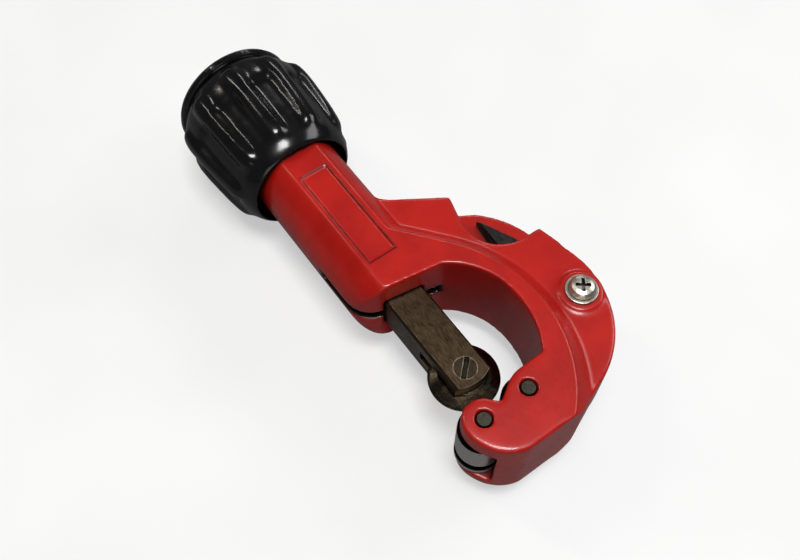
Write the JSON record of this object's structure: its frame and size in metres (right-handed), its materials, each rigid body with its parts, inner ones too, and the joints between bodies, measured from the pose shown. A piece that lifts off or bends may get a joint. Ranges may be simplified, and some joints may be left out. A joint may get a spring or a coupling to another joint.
{
  "type": "tube cutter",
  "caption": "Screw-feed tube cutter: C-shaped cast frame, roller pair, sliding cutter wheel on a feed screw with a ribbed knob, and a folding reamer.",
  "frame": {"origin": "centre of the cutter wheel at rest, on the feed axis, in the middle of the tool's thickness", "axes": "+X along the feed axis from the knob to the rollers, +Y towards the back of the C-shaped arch, +Z the normal of the frame's main face"},
  "size_m": [0.1362, 0.0625, 0.0416],
  "materials": {
    "painted_casting": "gloss red enamel over a light alloy casting",
    "black_plastic": "gloss moulded",
    "dark_steel": "oil-blackened with worn edges",
    "tool_steel": "hardened, oiled",
    "roller_steel": "satin turned",
    "pin_steel": "dull oiled",
    "blade_steel": "dull dark sheet",
    "bright_zinc": "bright zinc plate",
    "bronze": "turned bearing bronze"
  },
  "bodies": {
    "frame": {"frame": "painted_casting", "feed_bush": "bronze", "roller_pin_outer": "pin_steel", "roller_pin_inner": "pin_steel", "reamer_screw": "bright_zinc", "reamer_washer": "bright_zinc", "reamer_spring_washer": "blade_steel"},
    "carriage": {"slide_bar": "dark_steel", "cross_pins": "pin_steel", "thrust_washer": "bright_zinc", "wheel_axle": "dark_steel"},
    "wheel": {"cutter_wheel": "tool_steel"},
    "knob": {"knob": "black_plastic", "knob_cap": "black_plastic", "knob_nut": "bright_zinc", "knob_washer": "bright_zinc", "feed_screw": "bright_zinc"},
    "outer_roller": {"roller_outer": "roller_steel"},
    "inner_roller": {"roller_inner": "roller_steel"},
    "reamer": {"reamer_blade": "blade_steel"}
  },
  "joints": [
    {"name": "feed_slide", "type": "slide", "parent": "frame", "child": "carriage", "axis": [1, 0, 0], "range_m": [-0.0285, 0.0008]},
    {"name": "knob_turn", "type": "hinge", "parent": "carriage", "child": "knob", "pos_m": [-0.09, 0, 0], "axis": [1, 0, 0], "range_deg": [-5140, 150]},
    {"name": "wheel_spin", "type": "hinge", "parent": "carriage", "child": "wheel", "pos_m": [0, 0, 0], "axis": [0, 0, 1], "continuous": true},
    {"name": "outer_roller_spin", "type": "hinge", "parent": "frame", "child": "outer_roller", "pos_m": [0.0145, -0.0065, 0], "axis": [0, 0, 1], "continuous": true},
    {"name": "inner_roller_spin", "type": "hinge", "parent": "frame", "child": "inner_roller", "pos_m": [0.0145, 0.0065, 0], "axis": [0, 0, 1], "continuous": true},
    {"name": "reamer_fold", "type": "hinge", "parent": "frame", "child": "reamer", "pos_m": [0.00135, 0.03505, 0], "axis": [0, 0, -1], "range_deg": [0, 150]}
  ],
  "couplings": [
    {"joint": "knob_turn", "follows": "feed_slide", "rad_per_m": 3141.6}
  ]
}
